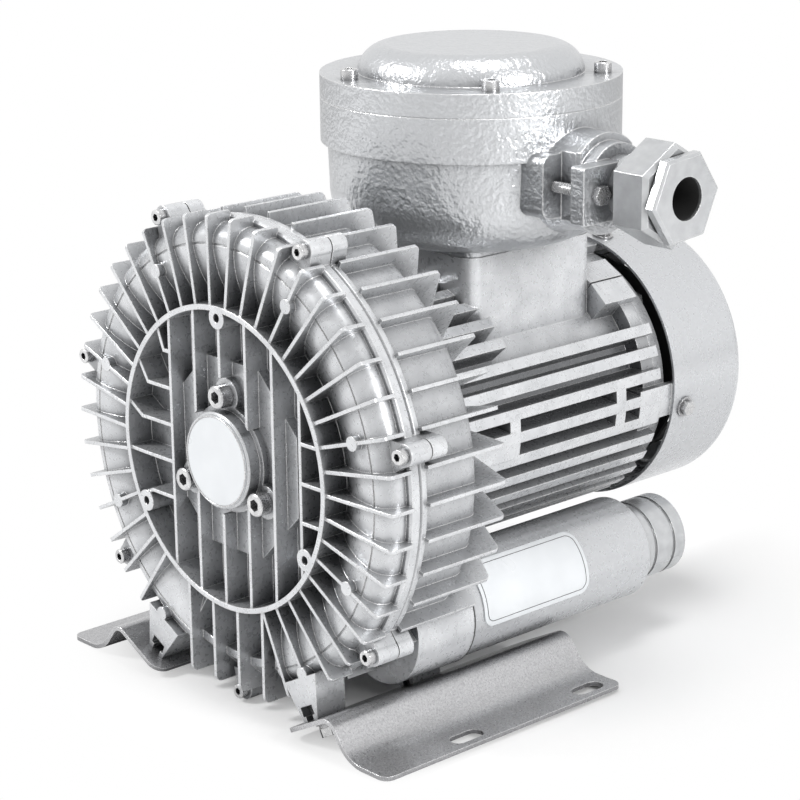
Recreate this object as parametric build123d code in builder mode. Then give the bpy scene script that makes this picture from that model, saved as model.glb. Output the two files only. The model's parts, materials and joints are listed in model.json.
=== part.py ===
from build123d import *
from math import cos, degrees, radians, sin, sqrt
import os

os.makedirs("parts", exist_ok=True)

# A side channel blower: a finned casing with the impeller, a finned motor behind it,
# a round flameproof terminal box on top, two silencers below and two bent foot rails.
# The shaft lies along +Y on the origin, the cover's front face is at y = 0, +Z is up.
# All sizes are in millimetres, and angles are measured about the shaft from +X towards +Z.

# Shaft height and foot rails
shaft_height = 143.0
foot_span = 260.0
foot_pitch = 95.0
first_slot = 60.5
slot_length = 22.0
slot_width = 10.0
rail_sheet = 2.5
rail_front = -7.0
rail_length = 182.0
rail_margin = 9.5
rail_tip = 56.5
rail_crest = 94.8
rail_heel = 110.4
rail_corner = 6.0
tip_corner = 9.0
crest_bend = 9.0
heel_bend = 20.0

# Feet on the castings, with a T slot for the nuts
foot_tilt = 27.5
foot_radius = 150.0
foot_end_half = 6.2
foot_inner_half = 12.0
foot_outer_half = 17.0
foot_root = 126.0
foot_front = 2.0
foot_depth = 20.5
rear_foot_front = 73.0
foot_thread = 6.0
nut_width = 10.0
nut_height = 5.0
slot_play = 0.5
slot_lip = 3.0
foot_head_height = 5.0
foot_washer = 1.6
spring_washer = 1.8
foot_washer_radius = 6.4
spring_washer_radius = 5.2

# Front cover
ring_radius = 86.5
ring_wall = 3.0
web_front = 16.0
web_back = 22.0
pad_half = 54.0
pad_front = 9.4
hub_boss = 46.0
joint = 26.0
flange_radius = 133.0
flange_front = 18.5
rim_round = 1.2
bulge_crest = 119.0
bulge_front = 5.7
bulge_edge = 129.5
bulge_start = -72.0
bulge_sweep = 324.0
parting_width = 1.2
parting_depth = 0.6
fin_sheet = 2.0
fin_count = 42
fin_corner = 135.5
fin_tip_round = 2.5
fin_corner_front = 3.2
fin_front = 1.0
first_radial_fin = -68.57
radial_fins = 36
disc_fin_pitch = 22.0
disc_fins = (-2, -1, 0, 1, 2, 3)
left_fin_top = 52.5
left_fin_pitch = 21.3
left_fins = 5
left_fin_bend = 72.0
left_fin_ring_angle = 130.0
left_fin_ring_step = 19.2
right_fin_top = 24.0
right_fins = 3
first_low_fin = -33.5
low_fin_pitch = 21.4
low_fins = 4
low_fin_bottom = 134.5
low_fin_round = 4.0
band_radius = 115.5
band_face = 4.5
band_front = 9.0
band_sweep = 56.0

# Screws round the cover
cover_bolts = 7
cover_bolt_radius = 138.5
cover_thread = 5.0
cover_head = 8.5
ear_front = 12.0
ear_back = 37.0
ear_half_width = 9.0
ear_reach = 6.0
pin_radius = 4.0
pin_front = 2.0
fin_pins = (7, 12, 17, 24, 29, 34)
fin_pin_place = 111.0
band_pins = (3, 38)
band_pin_place = 124.5

# Tapped holes in the cover's face
tap_circle = 160.0
tap_count = 3
tap_radius = 2.5
tap_depth = 13.0
tap_boss = 6.2
tap_front = 0.0

# Side channel and impeller
channel_radius = 108.5
channel_bore = 14.5
stripper_gap = 60.0
chamber_play = 0.8
impeller_front = 27.2
impeller_back = 45.2
impeller_web = 6.0
impeller_hub = 22.0
blade_count = 30
blade_sheet = 2.2
blade_margin = 3.0

# Rear casing
seal_sheet = 0.8
chamber_back = 46.0
casing_wall = 126.5
casing_rim_back = 31.0
rim_step = 1.2
seal_step = 2.5
casing_back = 75.0
casing_round = 8.0
wall_back = 56.0
motor_bore = 58.0
motor_face = 80.0
rear_recess = 91.0
rear_fin_tip = 85.5
rear_fin_slope = 0.39
rear_fin_inner = 92.0
rear_fin_round = 4.0
silencer_gap = 1.5

# Silencers
silencer_x = 70.0
silencer_z = -92.5
silencer_radius = 30.5
silencer_front = 94.0
silencer_back = 245.0
silencer_wall = 2.0
silencer_taper = 5.0
boss_radius = 32.0
boss_front = 52.0
port_radius = 19.0
liner_bore = 19.5
nozzle_radius = 24.0
nozzle_bore = 20.0
nozzle_back = 279.0
nozzle_groove = 1.0
nozzle_engage = 16.0
gasket_sheet = 1.0

# Shaft and bearings
journal = 12.5
impeller_seat = 14.0
core_seat = 17.0
rear_journal = 10.0
fan_seat = 9.0
shaft_front = 3.0
shaft_end = 326.0
bearing_outer = 26.0
bearing_width = 15.0
rear_bearing_outer = 23.5
rear_bearing_width = 14.0
rear_bearing_front = 262.0
race_wall = 4.2
ball_play = 0.05
ball_count = 8
nut_sheet = 5.5
seal_radius = 26.0
seal_front = 48.0
running_gap = 0.05
key_width = 5.0
key_height = 5.0

# Bearing cap with its blank badge
cap_radius = 27.5
cap_flange = 4.0
cap_front = -2.6
cap_lobe = 9.5
cap_bolt_radius = 36.0
cap_thread = 8.0
cap_head = 13.0
badge_radius = 26.0
badge_sheet = 0.6

# Motor
frame_wall = 6.0
fin_radius = 79.5
frame_flange = 9.0
flange_head = 13.0
frame_fins_front = 98.0
frame_back = 271.0
frame_fin_pitch = 10.0
lowest_frame_fin = -82.0
frame_fins = 12
top_frame_fins = 11
frame_fin_root = 8.0
frame_fin_tip = 6.4
shoulder_front = 244.0
shoulder_angles = (48.5, 60.5)
shoulder_root = 14.5
shoulder_tip = 15.5
rear_ring = 74.0
stator_front = 110.0
stator_back = 230.0
stator_bore = 36.0
stator_slots = 24
winding_width = 5.0
air_gap = 0.5
winding_reach = 18.0
winding_outer = 54.0
winding_inner = 39.0
flange_bolt_radius = 71.5
flange_thread = 8.0
neck_half = 45.0
neck_front = 146.0
neck_back = 248.0
neck_round = 10.0
neck_top = 95.0
neck_foot = 40.0
neck_wall = 8.0
passage_x = 44.0
passage_y = 54.0
cross_bar = 8.0
cross_bars = (148.5, 236.3)
cross_bar_middle = -2.0
cross_bar_half = 11.5
side_pad_front = 107.0
side_pad_middle = -5.0
side_pad_half = 8.0

# Rear end shield, cooling fan and cowl
shield_flange = 8.0
shield_thread = 5.0
shield_head = 8.0
shield_head_height = 3.5
shield_bolt_radius = 69.0
lug_front = 253.0
lug_back = 298.0
lug_width = 20.0
lug_lead = 4.0
lug_inner = 75.0
cowl_radius = 82.0
cowl_sheet = 1.6
cowl_front = 280.0
cowl_back = 344.0
cowl_round = 8.0
cowl_bolts = 4
cowl_bolt_angle = -9.0
cowl_screw_place = 290.0
cowl_thread = 5.0
cowl_head = 8.0
cowl_head_height = 3.5
cowl_washer = 1.2
cowl_washer_radius = 6.2
grille_slot = 5.5
grille_pitch = 11.0
grille_rings = 5
grille_first = 16.0
grille_spoke = 7.0
fan_radius = 66.0
fan_front = 298.0
fan_back = 320.0
fan_blades = 8
fan_sheet = 2.5
fan_hub = 15.0
clip_sheet = 1.2

# Terminal box
box_place = 191.0
box_seam = 0.4
box_belly = 82.0
box_belly_bottom = 98.0
box_belly_round = 28.0
box_waist = 83.0
box_step = 153.4
box_radius = 87.0
box_top = 178.8
box_inner = 69.0
box_floor = 112.0
lid_top = 192.4
dome_radius = 65.5
dome_crown = 47.0
dome_top = 208.0
lid_wall = 5.0
lid_spigot = 6.0
spigot_gap = 0.1
lid_bolts = 5
lid_bolt_circle = 76.0
lid_bolt_angle = -36.0
lid_thread = 6.0
lid_head = 10.0
lid_thread_depth = 14.0
box_bolt_x = 60.0
box_bolt_y = 72.0
box_thread = 6.0
box_head = 10.0
board_length = 62.0
board_width = 42.0
board_sheet = 9.0
stud_thread = 5.0
stud_pitch = 20.0
stud_rows = 24.0
stud_height = 17.0
stud_head = 8.0
stud_head_height = 4.0

# Cable gland on the +X side
gland_height = 141.0
spout_root = 37.5
spout_start = 66.0
spout_radius = 28.0
spout_straight = 94.0
spout_end = 103.0
spout_bore = 14.5
spout_half = 20.5
collar_end = 106.5
collar_radius = 28.5
barrel_radius = 24.0
plate_start = 115.0
plate_end = 124.5
plate_half_y = 37.2
plate_half_z = 16.0
plate_round = 1.5
plate_bolt = 25.5
plate_thread = 6.0
plate_head = 10.0
plate_head_height = 4.0
boss_end = 92.0
boss_half_y = 35.0
boss_half_z = 18.0
boss_corner = 6.0
gland_neck = 19.0
gland_hex = 50.8
gland_hex_start = 135.0
gland_hex_end = 158.0
gland_bevel = 2.5
cap_hex = 46.0
cap_turn = 5.0
cap_gap = 1.0
cap_end = 165.0
cap_bevel = 1.5
cable_radius = 11.9
gland_bore = 14.5
thread_radius = 17.5
thread_start = 108.0
thread_end = 162.0
gland_seal_start = 121.0
gland_seal_end = 163.0

# Blank label plate on the right silencer
label_start = 103.0
label_end = 187.0
label_middle = 25.5
label_half_width = 18.6
label_round = 7.0
label_sheet = 0.8

# Shared clearances and alignments
bolt_play = 0.1
tap_play = 0.05
tap_end = 1.5
UP = (Align.CENTER, Align.CENTER, Align.MIN)
DOWN = (Align.CENTER, Align.CENTER, Align.MAX)
ALONG = (-90, 0, 0)
ACROSS = (0, 90, 0)

# Places worked out from the sizes above
floor_level = -shaft_height
fin_step = 360 / fin_count
bolt_step = 360 / cover_bolts
foot_angles = (-90 + foot_tilt, -90 - foot_tilt)
casing_front = joint + seal_sheet
barrel_outer = motor_bore + frame_wall
bearing_back = pad_front + bearing_width
rear_bearing_back = rear_bearing_front + rear_bearing_width
shield_back = frame_back + shield_flange
foot_places = (foot_front + foot_depth / 2, rear_foot_front + foot_depth / 2)
neck_middle = (neck_front + neck_back) / 2
neck_length = neck_back - neck_front
lug_sweep = degrees(lug_width / fin_radius)


def from_front(y):
    """A plane across the shaft at station y, seen from the front: x to the right, y up."""
    return Plane(origin=(0, y, 0), x_dir=(1, 0, 0), z_dir=(0, -1, 0))


def turned(angle, y):
    """The same plane turned about the shaft, so that its x points outwards at the angle."""
    out = (cos(radians(angle)), 0, sin(radians(angle)))
    return Plane(origin=(0, y, 0), x_dir=out, z_dir=(0, -1, 0))


def half_plane(angle):
    """A plane through the shaft: x is the radius at the angle, y is the station."""
    turn = radians(angle)
    return Plane(origin=(0, 0, 0), x_dir=(cos(turn), 0, sin(turn)), z_dir=(-sin(turn), 0, cos(turn)))


def outward(angle, radius, y):
    """A plane that faces away from the shaft at the angle, radius and station."""
    turn = radians(angle)
    place = (radius * cos(turn), y, radius * sin(turn))
    return Plane(origin=place, x_dir=(0, 1, 0), z_dir=(cos(turn), 0, sin(turn)))


def facing_right(x):
    """A plane square to the gland's axis: x runs along the shaft and y up."""
    return Plane(origin=(x, box_place, gland_height), x_dir=(0, 1, 0), z_dir=(1, 0, 0))


def axial_rod(radius, start, end, mode=Mode.ADD):
    """A round bar along the shaft's direction between two stations."""
    with Locations((0, start, 0)):
        Cylinder(radius, end - start, rotation=ALONG, align=UP, mode=mode)


def axial_ring(outer, inner, start, end):
    """A plain ring about the shaft between two stations."""
    with BuildPart() as ring:
        axial_rod(outer, start, end)
        axial_rod(inner, start, end, mode=Mode.SUBTRACT)
    return ring.part


def socket_screw(thread, length, head_width):
    """A socket cap screw that stands on z = 0 with its thread below."""
    with BuildPart() as screw:
        Cylinder(head_width / 2, thread, align=UP)
        chamfer(screw.edges().group_by(Axis.Z)[-1], thread / 12)
        with BuildSketch(Plane.XY.offset(thread)):
            RegularPolygon(thread * 0.45, 6)
        extrude(amount=-thread * 0.6, mode=Mode.SUBTRACT)
        Cylinder(thread / 2, length, align=DOWN)
    return screw.part


def hex_screw(thread, length, across, head_height):
    """A hexagon screw that stands on z = 0 with its thread below."""
    with BuildPart() as screw:
        with BuildSketch():
            RegularPolygon(across / 2, 6, major_radius=False)
        extrude(amount=head_height)
        Cylinder(thread / 2, length, align=DOWN)
    return screw.part


def ear_outline(start):
    """One ear's outline, with x pointing outwards, from its root to its round nose."""
    with BuildSketch() as outline:
        with BuildLine():
            Polyline(
                (start, -ear_half_width), (cover_bolt_radius, -ear_reach),
                (cover_bolt_radius, ear_reach), (start, ear_half_width), close=True,
            )
        make_face()
        with Locations((cover_bolt_radius, 0)):
            Circle(ear_reach)
    return outline.sketch


def foot_outline(side):
    """One foot's outline with x pointing outwards; its wide side faces away from the middle."""
    with BuildSketch() as outline:
        with BuildLine():
            Polyline(
                (foot_root, -side * foot_inner_half), (foot_radius, -side * foot_end_half),
                (foot_radius, side * foot_end_half), (foot_root, side * foot_outer_half), close=True,
            )
        make_face()
    return outline.sketch


def foot_slot():
    """The T slot in a foot's end, for the bolt and its square nut."""
    with BuildSketch() as slot:
        with Locations((foot_radius, 0)):
            Rectangle(2 * slot_lip, foot_thread + slot_play)
        with Locations((foot_radius - slot_lip, 0)):
            Rectangle(nut_height + slot_play, nut_width + slot_play, align=(Align.MAX, Align.CENTER))
    return slot.sketch


def finish(builder, name):
    """Names the sub-part and writes it."""
    builder.part.label = name
    export_step(builder.part, f"parts/{name}.step")


# Front cover: the recessed disc with its hub, the channel half, fins, ears and feet
ring_inner = ring_radius - ring_wall
disc_fin_reach = ring_radius - ring_wall / 2
with BuildPart() as front_cover:
    with BuildSketch():
        with BuildLine():
            Polyline(
                (0, web_front), (ring_inner, web_front), (ring_inner, 0), (ring_radius, 0),
                (ring_radius, flange_front), (flange_radius - rim_round, flange_front),
                (flange_radius, flange_front + rim_round), (flange_radius, joint - rim_round),
                (flange_radius - rim_round, joint), (rear_recess, joint), (rear_recess, web_back),
                (hub_boss + 2, web_back), (hub_boss, joint), (0, joint), close=True,
            )
        make_face()
    revolve(axis=Axis.Y)
    with BuildSketch(from_front(pad_front)):
        RegularPolygon(pad_half, 8, major_radius=False, rotation=22.5)
    extrude(amount=pad_front - web_front)
    # The channel's front half, round all but the bottom
    with BuildSketch(half_plane(bulge_start)):
        with BuildLine():
            inner_side = TangentArc((bulge_crest, bulge_front), (ring_radius, web_front), tangent=(-1, 0))
            outer_side = TangentArc((bulge_crest, bulge_front), (bulge_edge, flange_front), tangent=(1, 0))
            Polyline(inner_side @ 1, (ring_radius, joint), (bulge_edge, joint), outer_side @ 1)
        make_face()
    revolve(axis=Axis.Y, revolution_arc=-bulge_sweep)
    with BuildSketch(half_plane(bulge_start)):
        with Locations((bulge_crest, bulge_front)):
            Rectangle(parting_width, 2 * parting_depth)
    revolve(axis=Axis.Y, revolution_arc=-bulge_sweep, mode=Mode.SUBTRACT)
    # A low band closes the bottom between the feet
    with BuildSketch(half_plane(-90 - band_sweep / 2)):
        with BuildLine():
            Polyline(
                (band_radius, band_front), (band_radius + band_face, band_front), (bulge_edge, flange_front),
                (bulge_edge, joint), (band_radius - 2, joint), close=True,
            )
        make_face()
    revolve(axis=Axis.Y, revolution_arc=-band_sweep)
    # Radial fins run from the ring over the channel to the flange
    radial_angles = [first_radial_fin + fin_step * i for i in range(radial_fins)]
    with BuildSketch(*[half_plane(angle) for angle in radial_angles]) as radial_fin:
        with BuildLine():
            Polyline(
                (disc_fin_reach, fin_front), (fin_corner, fin_corner_front), (fin_corner, flange_front),
                (flange_radius - rim_round, flange_front + 2), (disc_fin_reach, flange_front + 2), close=True,
            )
        make_face()
        fillet(radial_fin.vertices().sort_by_distance((fin_corner, fin_corner_front))[0], fin_tip_round)
    extrude(amount=fin_sheet / 2, both=True)
    # Upright fins below the ring, between the feet
    fin_depth = flange_front + 2 - fin_front
    for fin in range(low_fins):
        x = first_low_fin + low_fin_pitch * fin
        top = sqrt(disc_fin_reach ** 2 - x ** 2)
        with BuildSketch(Plane.YZ.offset(x)) as low_fin:
            with Locations((fin_front, -top)):
                Rectangle(fin_depth, low_fin_bottom - top, align=(Align.MIN, Align.MAX))
            fillet(low_fin.vertices().sort_by_distance((fin_front, -low_fin_bottom))[0], low_fin_round)
        extrude(amount=fin_sheet / 2, both=True)
    # Upright fins across the disc, with short level ones at both sides
    disc_depth = web_front + 1 - fin_front
    for place in disc_fins:
        x = place * disc_fin_pitch
        with Locations((x, fin_front, 0)):
            Box(fin_sheet, disc_depth, 2 * sqrt(disc_fin_reach ** 2 - x ** 2),
                align=(Align.CENTER, Align.MIN, Align.CENTER))
    for fin in range(left_fins):
        z = left_fin_top - fin * left_fin_pitch
        bend_x = -sqrt(left_fin_bend ** 2 - z ** 2)
        end_angle = radians(left_fin_ring_angle + fin * left_fin_ring_step)
        with BuildSketch(from_front(fin_front)):
            with BuildLine():
                Polyline(
                    (disc_fins[0] * disc_fin_pitch, z), (bend_x, z),
                    (disc_fin_reach * cos(end_angle), disc_fin_reach * sin(end_angle)),
                )
            trace(line_width=fin_sheet)
            with Locations((bend_x, z)):
                Circle(fin_sheet / 2)
        extrude(amount=-disc_depth)
    for fin in range(right_fins):
        z = right_fin_top - fin * disc_fin_pitch
        start = disc_fins[-1] * disc_fin_pitch
        with Locations((start, fin_front, z)):
            Box(sqrt(disc_fin_reach ** 2 - z ** 2) - start, disc_depth, fin_sheet,
                align=(Align.MIN, Align.MIN, Align.CENTER))
    # Ears for the cover screws, and the round pads of the mould's pins
    with BuildSketch(*[turned(-90 + bolt_step * i, ear_front) for i in range(cover_bolts)]):
        add(ear_outline(bulge_edge - 2))
    extrude(amount=ear_front - joint)
    with BuildSketch(from_front(pin_front)):
        for steps, radius in ((fin_pins, fin_pin_place), (band_pins, band_pin_place)):
            for step in steps:
                with PolarLocations(radius, 1, -90 + fin_step * (step + 0.5)):
                    Circle(pin_radius)
    extrude(amount=pin_front - flange_front)
    # Feet, then everything that is cut away
    for side, angle in zip((1, -1), foot_angles):
        with BuildSketch(turned(angle, foot_front)):
            add(foot_outline(side))
        extrude(amount=-foot_depth)
        with BuildSketch(turned(angle, foot_front)):
            add(foot_slot())
        extrude(amount=-foot_depth, mode=Mode.SUBTRACT)
    with Locations(from_front(tap_front)):
        with PolarLocations(tap_circle / 2, tap_count, 90):
            Cylinder(tap_boss, web_front + 1 - tap_front, align=DOWN)
            Cylinder(tap_radius, tap_depth, align=DOWN, mode=Mode.SUBTRACT)
    with BuildSketch(from_front(pad_front)):
        Circle(cap_radius + cap_flange)
        with PolarLocations(cap_bolt_radius, 3, 90):
            Circle(cap_lobe + 1)
    extrude(amount=pad_front, mode=Mode.SUBTRACT)
    with BuildSketch(half_plane(-90 + stripper_gap / 2)):
        with Locations((channel_radius, joint)):
            Circle(channel_bore)
    revolve(axis=Axis.Y, revolution_arc=stripper_gap - 360, mode=Mode.SUBTRACT)
    axial_rod(bearing_outer, pad_front, bearing_back, mode=Mode.SUBTRACT)
    axial_rod(impeller_hub, bearing_back, joint, mode=Mode.SUBTRACT)
    with Locations(from_front(ear_front)):
        with PolarLocations(cover_bolt_radius, cover_bolts, -90):
            Cylinder(cover_thread / 2 + bolt_play, joint - ear_front, align=DOWN, mode=Mode.SUBTRACT)
    with Locations(from_front(pad_front)):
        with PolarLocations(cap_bolt_radius, 3, 90):
            Cylinder(cap_thread / 2 + tap_play, tap_depth, align=DOWN, mode=Mode.SUBTRACT)
finish(front_cover, "front_cover")

# Rear casing: the impeller chamber, the channel's rear half, fins, bosses and the motor's face
chamber_radius = channel_radius + channel_bore
rim_radius = flange_radius - rim_step
rear_fin_back = rear_fin_tip + rear_fin_slope * (fin_corner - rear_fin_inner)
with BuildPart() as casing:
    with BuildSketch():
        with BuildLine():
            Polyline(
                (0, wall_back), (0, chamber_back), (chamber_radius, chamber_back), (chamber_radius, casing_front),
                (rim_radius - rim_round, casing_front), (rim_radius, casing_front + rim_round),
                (rim_radius, casing_rim_back), (casing_wall, casing_rim_back),
                (casing_wall, casing_back - casing_round),
            )
            CenterArc((casing_wall - casing_round, casing_back - casing_round), casing_round, 0, 90)
            Polyline(
                (casing_wall - casing_round, casing_back), (rear_recess, casing_back), (rear_recess, wall_back),
                (fin_radius, wall_back), (fin_radius, motor_face), (motor_bore, motor_face),
                (motor_bore, wall_back), (0, wall_back),
            )
        make_face()
    revolve(axis=Axis.Y)
    # Fins along the wall, with rear edges that slope inwards
    with BuildSketch(*[half_plane(-90 + fin_step * (i + 0.5)) for i in range(fin_count)]) as rear_fin:
        with BuildLine():
            Polyline(
                (casing_wall - 2, casing_rim_back - 1), (fin_corner, casing_rim_back - 1),
                (fin_corner, rear_fin_tip), (rear_fin_inner, rear_fin_back),
                (rear_fin_inner, casing_back - 2), (casing_wall - 2, casing_back - 2), close=True,
            )
        make_face()
        fillet(rear_fin.vertices().sort_by_distance((fin_corner, rear_fin_tip))[0], rear_fin_round)
    extrude(amount=fin_sheet / 2, both=True)
    with BuildSketch(*[turned(-90 + bolt_step * i, casing_front) for i in range(cover_bolts)]):
        add(ear_outline(casing_wall - 2))
    extrude(amount=casing_front - ear_back)
    for side in (-1, 1):
        with Locations((side * silencer_x, silencer_front, silencer_z)):
            Cylinder(boss_radius + silencer_gap, rear_fin_back - silencer_front, rotation=ALONG, align=UP,
                     mode=Mode.SUBTRACT)
        with Locations((side * silencer_x, boss_front, silencer_z)):
            Cylinder(boss_radius, silencer_front - boss_front, rotation=ALONG, align=UP)
    for side, angle in zip((1, -1), foot_angles):
        with BuildSketch(turned(angle, rear_foot_front)):
            add(foot_outline(side))
        extrude(amount=-foot_depth)
        with BuildSketch(turned(angle, rear_foot_front)):
            add(foot_slot())
        extrude(amount=-foot_depth, mode=Mode.SUBTRACT)
    for side in (-1, 1):
        with Locations((side * silencer_x, boss_front + 4, silencer_z)):
            Cylinder(port_radius, silencer_front - boss_front, rotation=ALONG, align=UP, mode=Mode.SUBTRACT)
    # The channel, the seal's seat and the tapped holes
    with BuildSketch(half_plane(-90 + stripper_gap / 2)):
        with Locations((channel_radius, chamber_back)):
            Circle(channel_bore)
    revolve(axis=Axis.Y, revolution_arc=stripper_gap - 360, mode=Mode.SUBTRACT)
    axial_rod(core_seat + 1, chamber_back, seal_front, mode=Mode.SUBTRACT)
    axial_rod(seal_radius, seal_front, wall_back, mode=Mode.SUBTRACT)
    with Locations(from_front(casing_front)):
        with PolarLocations(cover_bolt_radius, cover_bolts, -90):
            Cylinder(cover_thread / 2 + tap_play, ear_back - tap_end - casing_front, align=DOWN, mode=Mode.SUBTRACT)
    with Locations(from_front(motor_face)):
        with PolarLocations(flange_bolt_radius, 4, 45):
            Cylinder(flange_thread / 2 + tap_play, motor_face - wall_back - 4, align=UP, mode=Mode.SUBTRACT)
finish(casing, "casing")

with BuildPart() as cover_seal:
    with BuildSketch(from_front(casing_front)):
        Circle(flange_radius - seal_step)
    with BuildSketch(*[turned(-90 + bolt_step * i, casing_front) for i in range(cover_bolts)]):
        with Locations((casing_wall, 0)):
            Rectangle(cover_bolt_radius - casing_wall, 2 * ear_reach - seal_step, align=(Align.MIN, Align.CENTER))
        with Locations((cover_bolt_radius, 0)):
            Circle(ear_reach - seal_step / 2)
    extrude(amount=seal_sheet)
    axial_rod(chamber_radius, joint, casing_front, mode=Mode.SUBTRACT)
    with Locations(from_front(joint)):
        with PolarLocations(cover_bolt_radius, cover_bolts, -90):
            Cylinder(cover_thread / 2 + bolt_play, seal_sheet, align=DOWN, mode=Mode.SUBTRACT)
finish(cover_seal, "cover_seal")

cover_screw = socket_screw(cover_thread, ear_back - tap_end - 1 - ear_front, cover_head)
with BuildPart() as cover_screws:
    with Locations(from_front(ear_front)):
        with PolarLocations(cover_bolt_radius, cover_bolts, -90):
            add(cover_screw)
finish(cover_screws, "cover_screws")

# Bearing cap on the hub, with its three screws and the blank badge
cap_seat = pad_front - cap_flange
with BuildPart() as bearing_cap:
    with BuildSketch(from_front(pad_front)):
        Circle(cap_radius + cap_flange - 1)
        with PolarLocations(cap_bolt_radius, 3, 90):
            Circle(cap_lobe)
    extrude(amount=cap_flange)
    axial_rod(cap_radius, cap_front, cap_seat)
    chamfer(bearing_cap.edges().group_by(Axis.Y)[0], 1)
    axial_rod(bearing_outer - race_wall - 0.8, cap_front + cap_flange, pad_front, mode=Mode.SUBTRACT)
    with Locations(from_front(cap_seat)):
        with PolarLocations(cap_bolt_radius, 3, 90):
            Cylinder(cap_thread / 2 + bolt_play, cap_flange, align=DOWN, mode=Mode.SUBTRACT)
finish(bearing_cap, "bearing_cap")

cap_screw = socket_screw(cap_thread, cap_flange + tap_depth - 1, cap_head)
with BuildPart() as cap_screws:
    with Locations(from_front(cap_seat)):
        with PolarLocations(cap_bolt_radius, 3, 90):
            add(cap_screw)
finish(cap_screws, "cap_screws")

with BuildPart() as badge_disc:
    axial_rod(badge_radius, cap_front - badge_sheet, cap_front)
finish(badge_disc, "badge_disc")

# Foot rails: bent sheet, with slots for the floor bolts and holes for the T-slot bolts
rail_slope = radians(foot_tilt)
seat_x = foot_radius * sin(rail_slope)
seat_z = -foot_radius * cos(rail_slope)
rail_top = floor_level + rail_sheet
rail_edge = foot_span / 2 + rail_margin
with BuildPart() as right_foot_rail:
    with BuildSketch(from_front(rail_front)):
        with BuildLine() as bend:
            FilletPolyline(
                (rail_tip, seat_z + (rail_tip - seat_x) * sin(rail_slope) / cos(rail_slope)),
                (rail_crest, seat_z + (rail_crest - seat_x) * sin(rail_slope) / cos(rail_slope)),
                (rail_heel, rail_top), (rail_edge, rail_top), radius=(crest_bend, heel_bend),
            )
            offset(amount=rail_sheet, side=Side.RIGHT)
        make_face()
    extrude(amount=-rail_length)
    ends = right_foot_rail.edges().filter_by(lambda edge: abs(edge.length - rail_sheet) < 0.01)
    fillet(ends.group_by(Axis.X)[-1], rail_corner)
    fillet(ends.group_by(Axis.X)[0], tip_corner)
    with BuildSketch(Plane.XY.offset(floor_level)):
        with Locations(*[(foot_span / 2, first_slot + foot_pitch * i) for i in range(2)]):
            SlotOverall(slot_length, slot_width, rotation=90)
    extrude(amount=rail_sheet * 2, mode=Mode.SUBTRACT)
    with Locations(*[outward(foot_angles[0], foot_radius, y) for y in foot_places]):
        Cylinder(foot_thread / 2 + bolt_play, rail_sheet, align=UP, mode=Mode.SUBTRACT)
finish(right_foot_rail, "right_foot_rail")

with BuildPart() as left_foot_rail:
    mirror(right_foot_rail.part, about=Plane.YZ)
finish(left_foot_rail, "left_foot_rail")

washer_stack = foot_washer + spring_washer
foot_bolt = hex_screw(foot_thread, rail_sheet + washer_stack + slot_lip + nut_height, nut_width, foot_head_height)
head_radius = foot_radius + rail_sheet + washer_stack
with BuildPart() as foot_bolts:
    with Locations(*[outward(angle, head_radius, y) for angle in foot_angles for y in foot_places]):
        add(foot_bolt)
finish(foot_bolts, "foot_bolts")

with BuildPart() as foot_washers:
    with Locations(*[outward(angle, foot_radius + rail_sheet, y) for angle in foot_angles for y in foot_places]):
        Cylinder(foot_washer_radius, foot_washer, align=UP)
        Cylinder(spring_washer_radius, washer_stack, align=UP)
        Cylinder(foot_thread / 2 + bolt_play, washer_stack, align=UP, mode=Mode.SUBTRACT)
finish(foot_washers, "foot_washers")

with BuildPart() as foot_nuts:
    with Locations(*[outward(angle, foot_radius - slot_lip, y) for angle in foot_angles for y in foot_places]):
        Box(nut_width, nut_width, nut_height, align=DOWN)
        Cylinder(foot_thread / 2, nut_height, align=DOWN, mode=Mode.SUBTRACT)
finish(foot_nuts, "foot_nuts")

# Silencers: each has a gasket, a finished tube with a spigot, a foam sleeve and a pipe nozzle
silencer_plane = Plane(origin=(silencer_x, 0, silencer_z), x_dir=(1, 0, 0), z_dir=(0, 0, 1))
silencer_axis = Axis((silencer_x, 0, silencer_z), (0, 1, 0))
tube_front = silencer_front + gasket_sheet
tube_inner = silencer_radius - silencer_wall
nozzle_front = silencer_back - nozzle_engage
nozzle_seat = nozzle_radius - 2
liner_front = tube_front + 3
with BuildPart() as right_gasket:
    with BuildSketch(silencer_plane):
        with Locations(((port_radius + boss_radius) / 2, silencer_front + gasket_sheet / 2)):
            Rectangle(boss_radius - port_radius, gasket_sheet)
    revolve(axis=silencer_axis)
finish(right_gasket, "right_gasket")

with BuildPart() as left_gasket:
    mirror(right_gasket.part, about=Plane.YZ)
finish(left_gasket, "left_gasket")

with BuildPart() as right_silencer:
    with BuildSketch(silencer_plane):
        with BuildLine():
            Polyline(
                (port_radius - 3, tube_front - 8), (port_radius - 0.1, tube_front - 8), (port_radius - 0.1, tube_front),
                (silencer_radius, tube_front), (silencer_radius, silencer_back - silencer_taper),
                (silencer_radius - silencer_taper, silencer_back), (nozzle_seat, silencer_back),
                (nozzle_seat, nozzle_front), (tube_inner, nozzle_front), (tube_inner, liner_front),
                (port_radius - 3, liner_front), close=True,
            )
        make_face()
    revolve(axis=silencer_axis)
finish(right_silencer, "right_silencer")

with BuildPart() as left_silencer:
    mirror(right_silencer.part, about=Plane.YZ)
finish(left_silencer, "left_silencer")

with BuildPart() as right_liner:
    with BuildSketch(silencer_plane):
        with Locations(((tube_inner + liner_bore) / 2, (liner_front + nozzle_front) / 2)):
            Rectangle(tube_inner - liner_bore, nozzle_front - liner_front)
    revolve(axis=silencer_axis)
finish(right_liner, "right_liner")

with BuildPart() as left_liner:
    mirror(right_liner.part, about=Plane.YZ)
finish(left_liner, "left_liner")

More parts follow.
